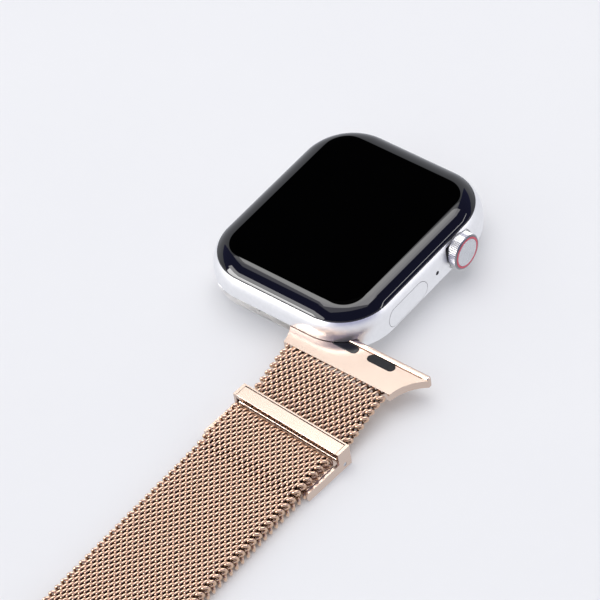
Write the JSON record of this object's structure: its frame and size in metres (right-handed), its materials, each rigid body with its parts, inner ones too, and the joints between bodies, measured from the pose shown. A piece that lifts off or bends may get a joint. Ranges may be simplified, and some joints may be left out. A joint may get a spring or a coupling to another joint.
{
  "type": "smartwatch",
  "caption": "Rounded-rectangle smartwatch with crown, side button and a folding magnetic mesh strap part way out of its band slot.",
  "frame": {"origin": "flat centre of the back crystal, on the surface that the watch rests on", "axes": "+X to the crown side, +Y to the 12 o'clock end, +Z out of the screen; the strap lies towards -Y"},
  "size_m": [0.0516, 0.1713, 0.0107],
  "materials": {
    "case_aluminium": "fine bead-blasted silver",
    "cover_glass": "clear glass over a black mask",
    "seal_rubber": "black elastomer",
    "display_black": "screen that is off",
    "back_ceramic": "polished black",
    "back_crystal": "dark smoked crystal",
    "circuit_board": "solder resist",
    "optics": "emitters and photodiodes",
    "coil_copper": "wound copper",
    "steel": "turned steel",
    "battery_foil": "black pouch",
    "speaker_black": "moulded housing",
    "flex_film": "polyimide film",
    "bush_brass": "turned bush",
    "crown_red": "red enamel ring",
    "crown_disc": "pale grey sapphire",
    "rose_gold_polish": "polished rose gold plate",
    "rose_gold_mesh": "woven rose gold wire",
    "pad_rubber": "matte dark rubber",
    "latch_black": "glossy dark pill",
    "magnet": "nickel-plated magnet"
  },
  "bodies": {
    "case": {"case_body": "case_aluminium", "cover_glass": "cover_glass", "glass_gasket": "seal_rubber", "display_panel": "display_black", "back_cover": "back_ceramic", "back_crystal": "back_crystal", "sensor_board": "circuit_board", "sensor_optics": "optics", "charging_coil": "coil_copper", "logic_board": "circuit_board", "board_screws": "steel", "battery": "battery_foil", "haptic_motor": "steel", "speaker": "speaker_black", "microphone": "speaker_black", "display_flex": "flex_film", "crown_bush": "bush_brass", "crown_switch": "steel", "button_switch": "steel"},
    "crown_carrier": {"crown_collar": "steel"},
    "crown": {"crown_cap": "case_aluminium", "crown_ring": "crown_red", "crown_disc": "crown_disc", "crown_shaft": "steel"},
    "side_button": {"side_button": "case_aluminium", "side_button_stems": "steel"},
    "release_lower": {"release_button_lower": "case_aluminium"},
    "release_upper": {"release_button_upper": "case_aluminium"},
    "connector_a": {"connector_plate_a": "rose_gold_polish", "connector_pads_a": "pad_rubber", "latch_spring_a": "steel"},
    "latch_a": {"latch_a": "latch_black"},
    "short_mesh": {"short_mesh": "rose_gold_mesh", "mesh_end_block": "rose_gold_polish"},
    "loop": {"loop_frame": "rose_gold_polish", "loop_cover": "rose_gold_polish", "loop_pin": "steel", "long_mesh_fold": "rose_gold_mesh"},
    "fold_root": {"folded_mesh_root": "rose_gold_mesh"},
    "fold_1": {"folded_mesh_1": "rose_gold_mesh"},
    "fold_2": {"folded_mesh_2": "rose_gold_mesh"},
    "fold_3": {"folded_mesh_3": "rose_gold_mesh"},
    "clasp": {"clasp_tray": "rose_gold_polish", "clasp_magnets": "magnet", "clasp_mesh": "rose_gold_mesh", "clasp_cover": "rose_gold_polish", "clasp_pin": "steel"},
    "connector_b": {"connector_plate_b": "rose_gold_polish", "connector_pads_b": "pad_rubber", "latch_spring_b": "steel"},
    "latch_b": {"latch_b": "latch_black"},
    "long_mesh_1": {"long_mesh_1": "rose_gold_mesh"},
    "long_mesh_2": {"long_mesh_2": "rose_gold_mesh"},
    "long_mesh_3": {"long_mesh_3": "rose_gold_mesh"},
    "long_mesh_4": {"long_mesh_4": "rose_gold_mesh"},
    "long_mesh_5": {"long_mesh_5": "rose_gold_mesh"},
    "long_mesh_6": {"long_mesh_6": "rose_gold_mesh"}
  },
  "joints": [
    {"name": "crown_press", "type": "slide", "parent": "case", "child": "crown_carrier", "axis": [-1, 0, 0], "range_m": [0, 0.00025], "stiffness_N_per_m": 800},
    {"name": "crown_turn", "type": "hinge", "parent": "crown_carrier", "child": "crown", "pos_m": [0.019, 0.00815, 0.0062], "axis": [1, 0, 0], "continuous": true},
    {"name": "button_press", "type": "slide", "parent": "case", "child": "side_button", "axis": [-1, 0, 0], "range_m": [0, 0.0002], "stiffness_N_per_m": 800},
    {"name": "release_lower_press", "type": "slide", "parent": "case", "child": "release_lower", "axis": [0, 0, 1], "range_m": [0, 0.0003], "stiffness_N_per_m": 500},
    {"name": "release_upper_press", "type": "slide", "parent": "case", "child": "release_upper", "axis": [0, 0, 1], "range_m": [0, 0.0003], "stiffness_N_per_m": 500},
    {"name": "connector_slide", "type": "slide", "parent": "case", "child": "connector_a", "axis": [1, 0, 0], "range_m": [-0.0171, 0.0155]},
    {"name": "latch_a_press", "type": "slide", "parent": "connector_a", "child": "latch_a", "axis": [0, 0, -1], "range_m": [0, 0.0003], "stiffness_N_per_m": 500, "deforming": ["latch_spring_a"]},
    {"name": "short_mesh_flex", "type": "hinge", "parent": "connector_a", "child": "short_mesh", "pos_m": [0.0171, -0.02641, 0.00417], "axis": [1, 0, 0], "range_deg": [-20, 25]},
    {"name": "loop_pivot", "type": "hinge", "parent": "short_mesh", "child": "loop", "pos_m": [0.0174, -0.03905, 0.001], "axis": [0.998, -0.0628, 0], "range_deg": [-8, 40]},
    {"name": "fold_peel", "type": "hinge", "parent": "loop", "child": "fold_root", "pos_m": [0.0169, -0.04217, 0.00185], "axis": [-0.998, 0.0628, 0], "range_deg": [0, 80]},
    {"name": "flex_1", "type": "hinge", "parent": "loop", "child": "long_mesh_1", "pos_m": [0.0171, -0.051, 0.0015], "axis": [1, 0, 0], "range_deg": [-20, 28]},
    {"name": "flex_2", "type": "hinge", "parent": "long_mesh_1", "child": "long_mesh_2", "pos_m": [0.0171, -0.066, 0.0015], "axis": [1, 0, 0], "range_deg": [-20, 28]},
    {"name": "flex_3", "type": "hinge", "parent": "long_mesh_2", "child": "long_mesh_3", "pos_m": [0.0171, -0.081, 0.0015], "axis": [1, 0, 0], "range_deg": [-20, 28]},
    {"name": "flex_4", "type": "hinge", "parent": "long_mesh_3", "child": "long_mesh_4", "pos_m": [0.0171, -0.096, 0.0015], "axis": [1, 0, 0], "range_deg": [-20, 28]},
    {"name": "flex_5", "type": "hinge", "parent": "long_mesh_4", "child": "long_mesh_5", "pos_m": [0.0171, -0.112, 0.0015], "axis": [1, 0, 0], "range_deg": [-20, 28]},
    {"name": "flex_6", "type": "hinge", "parent": "long_mesh_5", "child": "long_mesh_6", "pos_m": [0.0171, -0.127, 0.0015], "axis": [1, 0, 0], "range_deg": [-20, 28]},
    {"name": "connector_b_flex", "type": "hinge", "parent": "long_mesh_6", "child": "connector_b", "pos_m": [0.0171, -0.14128, 0.00072], "axis": [1, 0, 0], "range_deg": [-20, 25]},
    {"name": "fold_flex_1", "type": "hinge", "parent": "fold_root", "child": "fold_1", "pos_m": [0.0171, -0.051, 0.0015], "axis": [1, 0, 0], "range_deg": [-20, 28]},
    {"name": "fold_flex_2", "type": "hinge", "parent": "fold_1", "child": "fold_2", "pos_m": [0.0171, -0.066, 0.0015], "axis": [1, 0, 0], "range_deg": [-20, 28]},
    {"name": "fold_flex_3", "type": "hinge", "parent": "fold_2", "child": "fold_3", "pos_m": [0.0171, -0.081, 0.0015], "axis": [1, 0, 0], "range_deg": [-20, 28]},
    {"name": "fold_flex_4", "type": "hinge", "parent": "fold_3", "child": "clasp", "pos_m": [0.0171, -0.096, 0.0015], "axis": [1, 0, 0], "range_deg": [-20, 28]},
    {"name": "latch_b_press", "type": "slide", "parent": "connector_b", "child": "latch_b", "axis": [0, 0, -1], "range_m": [0, 0.0003], "stiffness_N_per_m": 500, "deforming": ["latch_spring_b"]}
  ],
  "couplings": [
    {"joint": "fold_flex_1", "follows": "flex_1", "ratio": 1},
    {"joint": "fold_flex_2", "follows": "flex_2", "ratio": 1},
    {"joint": "fold_flex_3", "follows": "flex_3", "ratio": 1},
    {"joint": "fold_flex_4", "follows": "flex_4", "ratio": 1}
  ]
}
